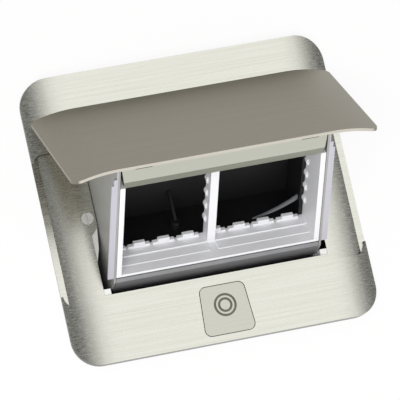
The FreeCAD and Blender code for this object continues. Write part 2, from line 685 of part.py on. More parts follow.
def make_side_plate(side):
    """One cheek of the cradle: a sector about the hinge on a goose neck, with
    the flange that covers the gap beside the panel and the peg that stops it."""
    left = side < 0
    body = new_body("side_plate_left" if left else "side_plate_right")
    outer = "(side_inner + side_thick)"
    plate = new_sketch(body, "YZ_Plane", f"-{outer}" if left else "side_inner")
    neck_top = f"(-sqrt(neck_round ^ 2 - {LID_UNDER} ^ 2))"
    outline(plate, [
        (PANEL_TOP, LID_UNDER), (DRUM_Y, DRUM_Z, "arc", DRUM_ROUND),
        polar(DRUM_ROUND, "drum_end"), (*polar("hub_round", "-30"), "arc", "hub_round"),
        ("0", "hub_round", "arc", "hub_round"), polar("hub_round", "neck_angle"),
        (*polar("neck_round", "neck_angle"), "arc", "-neck_round"), (neck_top, LID_UNDER),
    ])
    circle(plate, "0", "0", "bush_round")
    pad(body, plate, "side_thick")
    for low, high, edge in (("0", "notch_low", "flange_half"),
                            ("notch_low", "notch_high", "(flange_half - notch_wide)"),
                            ("notch_high", "flange_top", "(buffer_inner - fit_play)")):
        strip = new_sketch(body, "YZ_Plane", f"-{edge}" if left else "side_inner")
        outline(strip, [panel_spot(high), panel_spot(low), panel_spot(low, "flange_thick"),
                        panel_spot(high, "flange_thick")])
        pad(body, strip, f"{edge} - side_inner")
    drop = "(-buffer_low - stop_play - stop_peg - pivot_z)"
    rest = f"(180deg - asin({drop} / stop_round) + open_angle * 1deg)"
    peg = new_sketch(body, "YZ_Plane", "-stop_reach" if left else "side_inner")
    circle(peg, *polar("stop_round", rest), "stop_peg")
    pad(body, peg, "stop_reach - side_inner")
    hang(body)
    return body


def make_bushes():
    """Two flanged nylon bushes, pressed into the cheeks, that turn on the pin."""
    body = new_body("hinge_bushes")
    outer = "(side_inner + side_thick)"
    for barrel, rim in ((f"-{outer}", f"-({outer} + bush_rim_thick)"), ("side_inner", outer)):
        for lift, length, reach in ((barrel, "side_thick", "bush_round - press_play"),
                                    (rim, "bush_rim_thick", "bush_rim")):
            sketch = new_sketch(body, "YZ_Plane", lift)
            circle(sketch, "0", "0", reach)
            circle(sketch, "0", "0", "pin_round + pin_play")
            pad(body, sketch, length)
    hang(body)
    return body


def make_drum():
    """The curved skin below the panel, concentric with the hinge. Its top edge
    is folded twice, into a narrow flat lip and a shelf behind it."""
    body = new_body("drum_skin")
    inner = f"({DRUM_ROUND} - drum_thick)"
    sketch = new_sketch(body, "YZ_Plane")
    outline(sketch, [
        (DRUM_Y, DRUM_Z, "arc", DRUM_ROUND), polar(DRUM_ROUND, "drum_end"),
        (*polar(inner, "drum_end"), "arc", f"-{inner}"), polar(inner, f"{DRUM_START} + 1deg"),
        panel_spot("-lip_gap - drum_thick", "drum_thick"),
        panel_spot("-lip_gap - drum_thick", "shelf_deep"),
        panel_spot("-lip_gap", "shelf_deep"), panel_spot("-lip_gap"),
    ])
    pad(body, sketch, "2 * (side_inner - fit_play)", both=True)
    hang(body)
    return body


def make_module_frame():
    """The moulded support of two module bays, with a set-back mullion, a stepped
    sill, a row of toothed tabs behind it and scallops up the right-hand sides,
    all of which grip the modules."""
    body = new_body("module_frame")
    half = "(side_inner - fit_play)"
    block(body, f"-{half}", "0", "-module_deep", half, "module_rise", "0")
    bays = (("(-mullion_wide / 2 - bay_wide)", "(-mullion_wide / 2)"),
            ("(mullion_wide / 2)", "(mullion_wide / 2 + bay_wide)"))
    for left, right in bays:
        clear(body, left, "bay_sill", "-2 * module_deep", right, "module_rise", "module_deep")
    clear(body, "-mullion_wide", "bay_sill", "-mullion_back", "mullion_wide",
          "module_rise", "module_deep")
    across, up = (next(f for f in body.Origin.OriginFeatures if f.Role == r)
                  for r in ("X_Axis", "Y_Axis"))
    for left, right in bays:
        for rise, deep in (("step_low", "step_deep"), ("step_high", "2 * step_deep")):
            block(body, left, "0", "-module_deep", right, f"bay_sill + {rise}", f"-{deep}")
        # a half tab in the corner, then a row of whole ones
        base, back = "(bay_sill + step_high)", "-tooth_back"
        start = f"({left} + tooth_start)"
        block(body, left, base, back, f"{start} + tooth_wide / 2", f"{base} + step_high",
              f"{back} + tooth_deep")
        block(body, left, base, back, f"{start} + tooth_crown / 2",
              f"{base} + step_high + tooth_high", f"{back} + tooth_deep")
        tab = new_sketch(body, "XY_Plane", back)
        centre = f"({start} + tooth_pitch)"
        wide, crown = "tooth_wide / 2", "tooth_crown / 2"
        low, high = f"{base} + step_high", f"{base} + step_high + tooth_high"
        outline(tab, [
            (f"{centre} - {wide}", base), (f"{centre} + {wide}", base),
            (f"{centre} + {wide}", low), (f"{centre} + {crown}", low),
            (f"{centre} + {crown}", high), (f"{centre} - {crown}", high),
            (f"{centre} - {crown}", low), (f"{centre} - {wide}", low),
        ])
        row_of(body, pad(body, tab, "tooth_deep"), across, "tooth_pitch",
               "floor((bay_wide - tooth_start) / tooth_pitch)")
        bump = new_sketch(body, "XY_Plane", "-module_deep")
        outline(bump, [
            (right, "module_rise - scallop_pitch", "arc", "scallop_round"),
            (right, "module_rise - scallop_pitch - 1.6 * scallop_round"),
        ][::-1])
        row_of(body, pad(body, bump, "scallop_deep"), up, "-scallop_pitch",
               "floor(bay_high / scallop_pitch) - 1")
    lean_back(body)
    return body


def make_back_shell():
    """The closed moulding behind the bays, whose roof slopes under the lid."""
    body = new_body("back_shell")
    roof = "(bay_sill + bay_high - shell_wall / 2)"
    slope = "tan(panel_lean)"
    front, back = "-module_deep", "-(module_deep + shell_deep)"
    side = new_sketch(body, "YZ_Plane")
    outline(side, [("shell_low", front), ("shell_low", back),
                   (f"{roof} - shell_deep * {slope}", back), (roof, front)][::-1])
    pad(body, side, "2 * shell_half", both=True)
    inside = new_sketch(body, "YZ_Plane")
    outline(inside, [("shell_low + shell_wall", f"{front} + 1"),
                     ("shell_low + shell_wall", f"{back} + shell_wall"),
                     (f"{roof} - shell_deep * {slope} - shell_wall", f"{back} + shell_wall"),
                     (f"{roof} - shell_wall", f"{front} + 1")][::-1])
    pocket(body, inside, "2 * (shell_half - shell_wall)", both=True)
    lean_back(body)
    return body


def make_trim_bar():
    """The bright bar above the bays, with a crease along its face, over which the
    bolt catches, and ends cut at a slant."""
    body = new_body("trim_bar")
    half = "(side_inner - fit_play)"
    section = new_sketch(body, "YZ_Plane")
    outline(section, [
        ("bar_low", "-bar_back"),
        ("panel_high - fit_play - bar_back * tan(panel_lean)", "-bar_back"),
        ("panel_high - fit_play", "0"), ("bar_crease", "bar_proud"), ("bar_low", "0"),
    ])
    pad(body, section, f"2 * {half}", both=True)
    for side in ("-", ""):
        ends = new_sketch(body, "XY_Plane", "2 * bar_proud")
        spots = [(f"{side}({half} - bar_end_cut)", "bar_low - 1"), (f"{side}({half} + 1)", "bar_low - 1"),
                 (f"{side}({half} + 1)", "panel_high"), (f"{side}{half}", "panel_high")]
        outline(ends, spots if side == "" else spots[::-1])
        pocket(body, ends, "4 * bar_back")
    lean_back(body)
    return body


def make_cable_tie():
    """A cable tie left standing in one bay: a round head and a thin tail."""
    body = new_body("cable_tie")
    floor = "(shell_low + shell_wall)"
    head = new_sketch(body, "XZ_Plane", f"-{floor}")
    circle(head, "-boss_x", "-boss_back", "boss_round")
    pad(body, head, "boss_tall").Reversed = True
    tail = new_sketch(body, "YZ_Plane", "-boss_x - tail_wide / 2")
    top = f"({floor} + boss_tall)"
    outline(tail, [
        (f"{top} - tail_wide", "-boss_back"), (f"{top} - tail_wide + tail_rise", "-boss_back - tail_run"),
        (f"{top} + tail_rise", "-boss_back - tail_run"), (top, "-boss_back"),
    ][::-1])
    pad(body, tail, "tail_wide")
    lean_back(body)
    return body


def make_cable_strap():
    """A grey strap that runs from the other bay's side wall down to its floor."""
    body = new_body("cable_strap")
    floor, wall = "(shell_low + shell_wall + 0.1)", "(shell_half - shell_wall - 0.1)"
    sketch = new_sketch(body, "XY_Plane", "-strap_back - strap_thick")
    outline(sketch, [
        ("strap_x", floor, "arc", "strap_bow"), (wall, f"{floor} + strap_rise"),
        (wall, f"{floor} + strap_rise + strap_wide", "arc", "-(strap_bow + strap_wide)"),
        ("strap_x - strap_wide", floor),
    ])
    pad(body, sketch, "strap_thick")
    lean_back(body)
    return body


# ------------------------------------------------------------ nylon pieces

def make_buffer(side):
    body = new_body("buffer_left" if side < 0 else "buffer_right")
    span = ("-opening_half", "-buffer_inner") if side < 0 else ("buffer_inner", "opening_half")
    block(body, span[0], "-opening_front", "-buffer_low",
          span[1], "-opening_front + buffer_deep", "buffer_top")
    return body


def make_guide(side):
    """A wedge in the side gap that leads the cradle into the narrower throat."""
    body = new_body("guide_left" if side < 0 else "guide_right")
    sign = "-" if side < 0 else ""
    spots = [(f"{sign}opening_half", "-guide_front"),
             (f"{sign}opening_half", "-(ear_front + ear_bevel + fit_play)"),
             (f"{sign}guide_inner", "-(ear_front + fit_play)"),
             (f"{sign}(guide_inner + 1.3)", "-(ear_front + guide_front) / 1.8")]
    sketch = new_sketch(body, "XY_Plane", "-guide_low")
    outline(sketch, spots if side > 0 else spots[::-1])
    pad(body, sketch, "guide_low + guide_top")
    return body


# ---------------------------------------------------------- button and latch

def make_button():
    body = new_body("button")
    top = new_sketch(body, "XY_Plane", "frame_top - button_thick")
    button_shape(top)
    pad(body, top, "button_thick")
    stem = new_sketch(body, "YZ_Plane")
    fall = "(stem_knee + stem_low)"
    outline(stem, [
        ("-stem_front", "frame_top - button_thick"), ("-stem_front", "stem_knee"),
        (f"-stem_front + {fall}", "-stem_low"), (f"-stem_rear + {fall}", "-stem_low"),
        ("-stem_rear", "stem_knee"), ("-stem_rear", "frame_top - button_thick"),
    ])
    pad(body, stem, "2 * stem_half", both=True)
    for reach in ("ring_outer", "ring_inner"):
        groove = new_sketch(body, "XY_Plane", "frame_top")
        circle(groove, "0", "-ring_y", reach)
        circle(groove, "0", "-ring_y", f"{reach} - ring_line")
        pocket(body, groove, "ring_deep")
    return body


def make_latch_bolt():
    """The sliding bolt. The button's slanted blade passes through it, draws it
    forward as the button goes down and pushes its nose out again as it rises."""
    body = new_body("latch_bolt")
    slab = new_sketch(body, "YZ_Plane")
    outline(slab, [("-bolt_front", "-bolt_low"), ("-bolt_rear", "-bolt_low"),
                   ("-bolt_rear", "-bolt_top"), ("-bolt_front", "-bolt_top")])
    pad(body, slab, "2 * bolt_half", both=True)
    nose = new_sketch(body, "YZ_Plane")
    outline(nose, [
        ("-bolt_rear - 1", "-bolt_low / 2"), ("-bolt_rear", "-bolt_low / 2"),
        ("-nose_tip", "-0.5 * bolt_top"), ("-nose_tip", "nose_top / 2"),
        ("-(nose_tip + nose_top / 2)", "nose_top"), ("-bolt_rear - 1", "nose_top"),
    ])
    pad(body, nose, "2 * nose_half", both=True)
    window = new_sketch(body, "YZ_Plane")
    front, rear = "(-stem_front - 1.5 * stem_play)", "(-stem_rear + 1.5 * stem_play)"
    outline(window, [
        (f"{front} + stem_knee", "0"), (f"{front} + stem_knee + bolt_low + 1", "-(bolt_low + 1)"),
        (f"{rear} + stem_knee + bolt_low + 1", "-(bolt_low + 1)"), (f"{rear} + stem_knee", "0"),
    ])
    pocket(body, window, "2 * (stem_half + stem_play)", both=True)
    return body


def make_latch_housing():
    """An open-topped moulding under the front bar, with a track for the bolt, a
    pit for the button's spring and a lug each side."""
    body = new_body("latch_housing")
    half = "(bolt_half + stem_play + housing_wall)"
    block(body, f"-{half}", "-housing_front", "-housing_deep", half, "-housing_rear", "0")
    clear(body, "-(bolt_half + stem_play)", "-(housing_front - housing_wall)", "-(bolt_low + 0.1)",
          "bolt_half + stem_play", "-(housing_rear + housing_wall)", "0")
    fall = "stem_knee + stem_low"
    clear(body, "-(stem_half + 1)", f"-stem_front + {fall} - 3", "-(housing_deep - housing_wall)",
          "stem_half + 1", f"-stem_rear + {fall} + 1", "-bolt_low")
    clear(body, "-(nose_half + stem_play)", "-(housing_rear + 2 * housing_wall)", "-bolt_low",
          "nose_half + stem_play", "-housing_rear + 1", "0")
    for side in ("-", ""):
        near, far = f"{side}({half} - 0.5)", f"{side}({half} + 2 * lug_wide)"
        left, right = (far, near) if side else (near, far)
        block(body, left, f"-{LUG_Y} - lug_wide", "-lug_thick", right,
              f"-{LUG_Y} + lug_wide", "0")
        hole = new_sketch(body, "XY_Plane", "0")
        circle(hole, f"{side}{LUG_X}", f"-{LUG_Y}", "pan_shank + press_play")
        pocket(body, hole, "lug_thick")
    return body


def make_housing_screws():
    """Two pan-head screws up through the housing's lugs into the front bar."""
    body = new_body("housing_screws")
    for low, high, reach in (("-(lug_thick + pan_high)", "-lug_thick", "pan_round"),
                             ("-lug_thick", "pan_bite", "pan_shank")):
        sketch = new_sketch(body, "XY_Plane", low)
        for side in ("-", ""):
            circle(sketch, f"{side}{LUG_X}", f"-{LUG_Y}", reach)
        pad(body, sketch, f"{high} - ({low})")
    return body


def make_button_spring():
    """The spring under the button's blade: rings joined by two thin bars."""
    spring = doc.addObject("Part::Feature", "button_spring")
    spring.Label = "button_spring"
    wire, reach, turns = value("press_wire"), value("press_round"), int(value("press_turns"))
    low = value("-(housing_deep - housing_wall)")
    tall = value("-stem_low") - low
    middle = value("-(stem_front + stem_rear) / 2 + stem_knee + stem_low")
    foot, up = FreeCAD.Vector(0, middle, low), FreeCAD.Vector(0, 0, 1)
    pitch = (tall - wire) / (turns - 1)
    rings = [coil_ring(foot + up * (turn * pitch), up, reach, wire / 2, wire)
             for turn in range(turns)]
    bars = []
    for side in (1, -1):
        start = foot + FreeCAD.Vector(0, side * reach, 0)
        bars.append(bar_between(start, start + up * tall, 0.8 * wire))
    spring.Shape = rings[0].multiFuse(rings[1:] + bars)
    spring.Placement.Base.z = value("floor_up")
    return spring


# ---------------------------------------------------------- build and export

pieces = [
    make_trim_frame(), make_gasket(), make_frame_screws(), make_back_box(), make_grommets(),
    make_bracket(-1), make_bracket(1), make_pin(), make_pin_clips(),
    make_spring(-1), make_spring(1), make_buffer(-1), make_buffer(1),
    make_guide(-1), make_guide(1), make_latch_housing(), make_housing_screws(),
    make_lid(), make_stiffener(), make_lid_pads(), make_side_plate(-1), make_side_plate(1),
    make_bushes(), make_drum(), make_module_frame(), make_back_shell(), make_trim_bar(),
    make_cable_tie(), make_cable_strap(),
    make_button(), make_latch_bolt(), make_button_spring(),
]

doc.recompute()
for thing in doc.Objects:
    faults = {"Invalid", "Error"} & set(thing.State)
    if faults:
        raise RuntimeError(f"{thing.Label} failed: {sorted(faults)}")
    if thing.TypeId in ("PartDesign::Pocket", "PartDesign::Groove", "PartDesign::Hole"):
        taken = thing.BaseFeature.Shape.Volume - thing.Shape.Volume
        if taken < 0.01:
            raise RuntimeError(f"{thing.Label} cuts nothing")

os.makedirs("parts", exist_ok=True)
for piece in pieces:
    if piece.Shape.isNull() or not piece.Shape.isValid():
        raise RuntimeError(f"{piece.Label} is not a valid solid")
    piece.Shape.exportStep(f"parts/{piece.Label}.step")
    print(f"{piece.Label}: {len(piece.Shape.Solids)} solids, {piece.Shape.Volume:.0f} mm3")
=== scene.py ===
# %% [markdown]
# # A pop-up floor socket box
# The real thing is let into a floor. Only its brushed metal trim frame shows
# until its button is pressed; then a spring tips a cradle up out of the frame,
# and the cradle lifts a curved lid and a panel with two bays for sockets.
# The first cell loads the solid model, which has every rigid piece in its place
# but four rivet heads. What is left is light, finishes, those heads, and a
# rounder copy of the bay frame.

# %% Load the model
import json
import math

import bmesh
import bpy
from mathutils import Matrix, Vector


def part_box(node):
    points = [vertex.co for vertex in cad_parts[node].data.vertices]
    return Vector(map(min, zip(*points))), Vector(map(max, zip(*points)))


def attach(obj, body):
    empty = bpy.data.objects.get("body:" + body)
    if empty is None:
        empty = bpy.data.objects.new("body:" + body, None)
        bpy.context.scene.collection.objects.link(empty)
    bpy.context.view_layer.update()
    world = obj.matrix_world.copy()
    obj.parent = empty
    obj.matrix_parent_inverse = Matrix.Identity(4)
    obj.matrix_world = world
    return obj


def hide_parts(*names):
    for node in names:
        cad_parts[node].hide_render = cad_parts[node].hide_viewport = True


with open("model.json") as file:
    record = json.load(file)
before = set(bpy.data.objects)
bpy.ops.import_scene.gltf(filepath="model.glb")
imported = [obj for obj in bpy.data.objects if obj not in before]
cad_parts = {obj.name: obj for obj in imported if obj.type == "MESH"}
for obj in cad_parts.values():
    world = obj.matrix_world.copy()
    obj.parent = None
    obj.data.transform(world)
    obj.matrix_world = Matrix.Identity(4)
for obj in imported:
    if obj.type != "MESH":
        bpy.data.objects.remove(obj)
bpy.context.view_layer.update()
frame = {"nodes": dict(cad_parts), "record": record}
MM = 0.001

# %% [markdown]
# ## The camera
# A long lens from high up keeps the frame's sides almost parallel. The camera
# stands at the front left and is rolled, so that the frame leans in the
# picture. Its turn is built from three directions: back towards the camera,
# the picture's right, and the picture's top.

# %% Camera
AZIMUTH, ELEVATION, ROLL = (math.radians(a) for a in (58.82, 72.45, -47.3))
DISTANCE, LENS, SENSOR = 2026.7 * MM, 387.7, 36
NEAR, FAR = 0.1, 20
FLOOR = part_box("trim_frame")[0].z
AIM = Vector((0.86 * MM, -0.16 * MM, FLOOR))

back = Vector((-math.sin(AZIMUTH) * math.cos(ELEVATION),
               -math.cos(AZIMUTH) * math.cos(ELEVATION), math.sin(ELEVATION)))
level = Vector((math.cos(AZIMUTH), -math.sin(AZIMUTH), 0))
down = level.cross(back)
right = math.cos(ROLL) * level + math.sin(ROLL) * down
camera = bpy.data.objects.new("camera", bpy.data.cameras.new("camera"))
camera.data.lens, camera.data.sensor_width = LENS, SENSOR
camera.data.clip_start, camera.data.clip_end = NEAR, FAR
turn = Matrix((right, back.cross(right), back)).transposed()
camera.matrix_world = Matrix.Translation(AIM + DISTANCE * back) @ turn.to_4x4()
bpy.context.scene.collection.objects.link(camera)
bpy.context.scene.camera = camera
bpy.context.scene.view_settings.view_transform = "Standard"
print("camera at", [round(c, 3) for c in camera.location])

# %% [markdown]
# ## Node helpers
# Every finish below is a small tree of shader nodes. One function adds a node,
# sets its inputs and links it; colours are written as hex values, as they look
# on a screen, and turned to the linear values that a shader works in.

# %% Node and colour helpers
def linear(code):
    """A hex colour, as seen on a screen, as a linear colour with alpha."""
    parts = [int(code[i:i + 2], 16) / 255 for i in (1, 3, 5)]
    return [p / 12.92 if p <= 0.04045 else ((p + 0.055) / 1.055) ** 2.4 for p in parts] + [1]


def add(tree, kind, inputs=None, **settings):
    """Add a node. An input given another node's socket is linked to it."""
    node = tree.nodes.new(kind)
    for name, setting in settings.items():
        setattr(node, name, setting)
    for name, value in (inputs or {}).items():
        if isinstance(value, bpy.types.NodeSocket):
            tree.links.new(value, node.inputs[name])
        else:
            node.inputs[name].default_value = value
    return node


def new_material(name, base, metallic, roughness):
    """A material with one Principled shader; returns it, its tree and shader."""
    material = bpy.data.materials.new(name)
    material.use_nodes = True
    material.diffuse_color = linear(base)
    tree = material.node_tree
    shader = tree.nodes["Principled BSDF"]
    shader.inputs["Base Color"].default_value = linear(base)
    shader.inputs["Metallic"].default_value = metallic
    shader.inputs["Roughness"].default_value = roughness
    return material, tree, shader


def vary_roughness(tree, shader, noise, middle, spread, limits=None):
    """Let a noise swing the roughness by its spread to either side of its middle."""
    rough = add(tree, "ShaderNodeMapRange", {"Value": noise.outputs["Fac"], **(limits or {}),
                "To Min": middle - spread, "To Max": middle + spread})
    tree.links.new(rough.outputs[0], shader.inputs["Roughness"])


print("white is", linear("#ffffff")[:3])

# %% [markdown]
# ## Floor and light
# The floor lies level with the underside of the trim frame and has a hole for
# the box below. It looks white to the camera and in reflections; for soft light
# it is an ordinary pale matte surface.
#
# Brushed metal shows mostly what it reflects. The world has a bright panel in
# the direction that the flat top mirrors to the main camera, with a dark ring
# round it and paler walls beyond. It gives a bright middle, and dark ends where
# the frame curves down, which makes a curved plate look curved. The panel is
# placed for that one view: from behind, the same metal looks darker.

# %% Floor
REACH = 4.0                     # from the middle of the floor to its sides, in metres
LOWERED = 0.05 * MM             # keeps the floor off the plane of the frame's underside
GLOW = 0.9                      # how much of the floor's look is plain white


def pale_floor(name, share):
    material = bpy.data.materials.new(name)
    material.use_nodes = True
    tree = material.node_tree
    tree.nodes.clear()
    path = add(tree, "ShaderNodeLightPath")
    seen = add(tree, "ShaderNodeMath", {0: path.outputs["Is Camera Ray"],
               1: path.outputs["Is Glossy Ray"]}, operation="MAXIMUM")
    seen = add(tree, "ShaderNodeMath", {0: seen.outputs[0],
               1: path.outputs["Is Transmission Ray"]}, operation="MAXIMUM")
    white = add(tree, "ShaderNodeMath", {0: seen.outputs[0], 1: share}, operation="MULTIPLY")
    matte = add(tree, "ShaderNodeBsdfDiffuse", {"Color": linear("#F4F4F2")})
    glow = add(tree, "ShaderNodeEmission", {"Color": linear("#FFFFFF"), "Strength": 1.0})
    mixed = add(tree, "ShaderNodeMixShader", {0: white.outputs[0],
                1: matte.outputs[0], 2: glow.outputs[0]})
    add(tree, "ShaderNodeOutputMaterial", {"Surface": mixed.outputs[0]})
    return material


box_low, box_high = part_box("back_box")
outer = [(-REACH, -REACH), (REACH, -REACH), (REACH, REACH), (-REACH, REACH)]
inner = [(box_low.x, box_low.y), (box_high.x, box_low.y),
         (box_high.x, box_high.y), (box_low.x, box_high.y)]
mesh = bmesh.new()
rings = [[mesh.verts.new((x, y, FLOOR - LOWERED)) for x, y in ring] for ring in (outer, inner)]
for i in range(4):
    j = (i + 1) % 4
    mesh.faces.new((rings[0][i], rings[0][j], rings[1][j], rings[1][i]))
floor = bpy.data.objects.new("floor", bpy.data.meshes.new("floor"))
mesh.to_mesh(floor.data)
mesh.free()
bpy.context.scene.collection.objects.link(floor)
floor.data.materials.append(pale_floor("pale_floor", GLOW))
print("floor with a hole of", [round(1000 * v) for v in (box_high - box_low)][:2], "mm")

# %% World
# The limits are cosines of the angle from the mirrored direction.
PANEL_EDGE, PANEL_MIDDLE = 0.83, 0.985
WALLS_START, WALLS_FULL = 0.77, 0.5
RING_LIGHT, PANEL_LIGHT, WALLS_LIGHT, SOFT_LIGHT = 0.07, 1.08, 0.85, 0.52

world = bpy.data.worlds.new("studio")
bpy.context.scene.world = world
world.use_nodes = True
world.cycles.sampling_method = "NONE"
tree = world.node_tree
tree.nodes.clear()
mirror = Vector((-back.x, -back.y, back.z))
place = add(tree, "ShaderNodeTexCoord")
path = add(tree, "ShaderNodeLightPath")
facing = add(tree, "ShaderNodeVectorMath",
             {0: place.outputs["Generated"], 1: mirror}, operation="DOT_PRODUCT")
panel = add(tree, "ShaderNodeMapRange", {"Value": facing.outputs["Value"],
            "From Min": PANEL_EDGE, "From Max": PANEL_MIDDLE,
            "To Min": RING_LIGHT, "To Max": PANEL_LIGHT}, interpolation_type="SMOOTHSTEP")
walls = add(tree, "ShaderNodeMapRange", {"Value": facing.outputs["Value"],
            "From Min": WALLS_START, "From Max": WALLS_FULL,
            "To Min": 0.0, "To Max": WALLS_LIGHT}, interpolation_type="SMOOTHSTEP")
shine = add(tree, "ShaderNodeMath", {0: panel.outputs[0], 1: walls.outputs[0]},
            operation="MAXIMUM")
soft = add(tree, "ShaderNodeMix", {0: path.outputs["Is Glossy Ray"], 2: SOFT_LIGHT,
           3: shine.outputs[0]}, data_type="FLOAT")
total = add(tree, "ShaderNodeMath", {0: soft.outputs[0], 1: path.outputs["Is Camera Ray"]},
            operation="MAXIMUM")
sky = add(tree, "ShaderNodeBackground", {"Color": linear("#FFFFFF"), "Strength": total.outputs[0]})
add(tree, "ShaderNodeOutputWorld", {"Surface": sky.outputs[0]})
print("the flat top mirrors", [round(c, 2) for c in mirror])


# %% Lamps
def softbox(name, watts, size, direction, distance=1.2):
    lamp = bpy.data.lights.new(name, "AREA")
    lamp.energy, lamp.shape, lamp.size = watts, "DISK", size
    piece = bpy.data.objects.new(name, lamp)
    toward = Vector(direction).normalized()
    piece.location = AIM + distance * toward
    piece.rotation_euler = toward.to_track_quat("Z", "Y").to_euler()
    piece.visible_glossy = False
    bpy.context.scene.collection.objects.link(piece)


softbox("key", 9, 0.9, (-0.5, -0.35, 1.0))
softbox("fill", 4, 1.2, (0.3, -1.0, 0.6))
print("two soft lamps light the plastic; the metal mirrors the world")

# %% [markdown]
# ## Brushed nickel
# The frame is zinc or steel, nickel plated and then brushed from side to side
# with a fine belt. The strokes are far thinner than a hair, so they are drawn
# about half a millimetre apart here, coarse enough to show. The same stretched
# noise shifts the roughness, the colour a little and the surface's slope.

# %% Brushed nickel
def facing_mask(tree, direction, near, far):
    """1 where a face looks in a direction, 0 where it turns away, measured on the
    piece itself, so that it stays put when the piece moves."""
    face = add(tree, "ShaderNodeNewGeometry")
    own = add(tree, "ShaderNodeVectorTransform", {"Vector": face.outputs["True Normal"]},
              vector_type="NORMAL", convert_from="WORLD", convert_to="OBJECT")
    match = add(tree, "ShaderNodeVectorMath", {0: own.outputs[0], 1: direction},
                operation="DOT_PRODUCT")
    return add(tree, "ShaderNodeMapRange", {"Value": match.outputs["Value"], "From Min": far,
               "From Max": near}, interpolation_type="SMOOTHSTEP").outputs[0]


def upright(tree):
    """1 on the upright faces of a piece that lies level."""
    level = facing_mask(tree, (0, 0, 1), 0.75, 0.35)
    return add(tree, "ShaderNodeMath", {0: 1.0, 1: level}, operation="SUBTRACT").outputs[0]


def brushed(name, base, dark, roughness, stroke=0.7, length=70, bump=0.01, edge=None,
            below=None, lit=None):
    """A metal brushed along X: strokes of a width and a length in millimetres.
    "edge" tints the upright faces, and with "below" all that lies under a height.
    "lit" tints the faces that look one way: the direction, the limits of its mask,
    the colour, and how metallic those faces stay. The tints imitate shade and light."""
    material, tree, shader = new_material(name, base, 1.0, roughness)
    place = add(tree, "ShaderNodeTexCoord")
    across, along = 1 / (stroke * MM), 1 / (length * MM)
    stretch = add(tree, "ShaderNodeMapping", {"Vector": place.outputs["Object"],
                  "Scale": (along, across, across)})
    strokes = add(tree, "ShaderNodeTexNoise", {"Vector": stretch.outputs[0], "Scale": 1.0,
                  "Detail": 3.0, "Roughness": 0.6})
    tone = add(tree, "ShaderNodeMapRange", {"Value": strokes.outputs["Fac"], "From Min": 0.35,
               "From Max": 0.65})
    colour = add(tree, "ShaderNodeMix", {0: tone.outputs[0], 6: linear(dark),
                 7: linear(base)}, data_type="RGBA").outputs[2]
    if edge:
        mask = upright(tree)
        if below:
            split = add(tree, "ShaderNodeSeparateXYZ", {"Vector": place.outputs["Object"]})
            low = add(tree, "ShaderNodeMath", {0: split.outputs["Z"], 1: below},
                      operation="LESS_THAN")
            mask = add(tree, "ShaderNodeMath", {0: mask, 1: low.outputs[0]},
                       operation="MAXIMUM").outputs[0]
        colour = add(tree, "ShaderNodeMix", {0: mask, 6: colour, 7: linear(edge)},
                     data_type="RGBA").outputs[2]
    if lit:
        direction, near, far, pale, share = lit
        mask = facing_mask(tree, direction, near, far)
        colour = add(tree, "ShaderNodeMix", {0: mask, 6: colour, 7: linear(pale)},
                     data_type="RGBA").outputs[2]
        metal = add(tree, "ShaderNodeMapRange", {"Value": mask, "To Min": 1.0, "To Max": share})
        tree.links.new(metal.outputs[0], shader.inputs["Metallic"])
    vary_roughness(tree, shader, strokes, roughness, 0.05, {"From Min": 0.3, "From Max": 0.7})
    grooves = add(tree, "ShaderNodeBump", {"Height": strokes.outputs["Fac"],
                  "Strength": bump, "Distance": 0.03 * MM})
    tree.links.new(colour, shader.inputs["Base Color"])
    tree.links.new(grooves.outputs[0], shader.inputs["Normal"])
    return material


RINGS_BELOW = 0.15 * MM         # under the button's top, inside its engraved rings
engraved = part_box("button")[1].z - RINGS_BELOW
LEAN = math.radians(36.9)       # how far the open panel leans back
sine, cosine = math.sin(LEAN), math.cos(LEAN)
rise_way, depth_way = Vector((0, sine, cosine)), Vector((0, cosine, -sine))
tip = math.radians(frame["record"]["behaviour"]["joints"][0]["range_deg"][1])
lid_front = (0, -math.cos(tip), math.sin(tip))
# Painted shade: the frame's upright faces take a dark colour.
nickel = brushed("brushed_nickel", "#F0F0E6", "#DCDCD1", 0.27, edge="#55544D")
# Painted highlight: the faces along the lid's front edge take a pale colour and are less metallic.
lid_nickel = brushed("satin_nickel_lid", "#938E82", "#8A8579", 0.36,
                     lit=(lid_front, 0.95, 0.8, "#C9C4B8", 0.4))
# Painted light: the trim bar's faces that look up take a paler colour than its lower faces.
bar_nickel = brushed("satin_nickel_bar", "#A3A498", "#999A8F", 0.34,
                     lit=((0, 0, 1), 0.6, 0.5, "#CCCDC1", 0.85))
# Painted shade: the button's upright faces and its engraved rings take a dark colour.
button_nickel = brushed("brushed_nickel_button", "#DCDCD0", "#CECEC2", 0.30,
                        edge="#77766C", below=engraved)
print("four brushed finishes")

# %% [markdown]
# ## Sheet steel
# The cradle's cheeks and its curved skin are zinc-plated sheet. Zinc has faint
# cloudy patches. The cheeks' outer flanges look paler and bluer than the
# cheeks themselves, so the mix follows the distance from the middle.

# %% Sheet steel
FLANGE_PAST_SKIN = 1.3 * MM


def zinc(name, base, other, roughness, patch=9.0, metallic=1.0, flange=None):
    """Cloudy zinc, with patches of a size in millimetres. "flange" is the distance
    from the middle past which the sheet takes another colour, and that colour."""
    material, tree, shader = new_material(name, base, metallic, roughness)
    place = add(tree, "ShaderNodeTexCoord")
    clouds = add(tree, "ShaderNodeTexNoise", {"Vector": place.outputs["Object"],
                 "Scale": 1 / (patch * MM), "Detail": 4.0})
    colour = add(tree, "ShaderNodeMix", {0: clouds.outputs["Fac"], 6: linear(base),
                 7: linear(other)}, data_type="RGBA").outputs[2]
    if flange:
        start, code = flange
        split = add(tree, "ShaderNodeSeparateXYZ", {0: place.outputs["Object"]})
        far = add(tree, "ShaderNodeMath", {0: split.outputs["X"]}, operation="ABSOLUTE")
        mask = add(tree, "ShaderNodeMath", {0: far.outputs[0], 1: start}, operation="GREATER_THAN")
        colour = add(tree, "ShaderNodeMix", {0: mask.outputs[0], 6: colour,
                     7: linear(code)}, data_type="RGBA").outputs[2]
    vary_roughness(tree, shader, clouds, roughness, 0.08)
    tree.links.new(colour, shader.inputs["Base Color"])
    return material


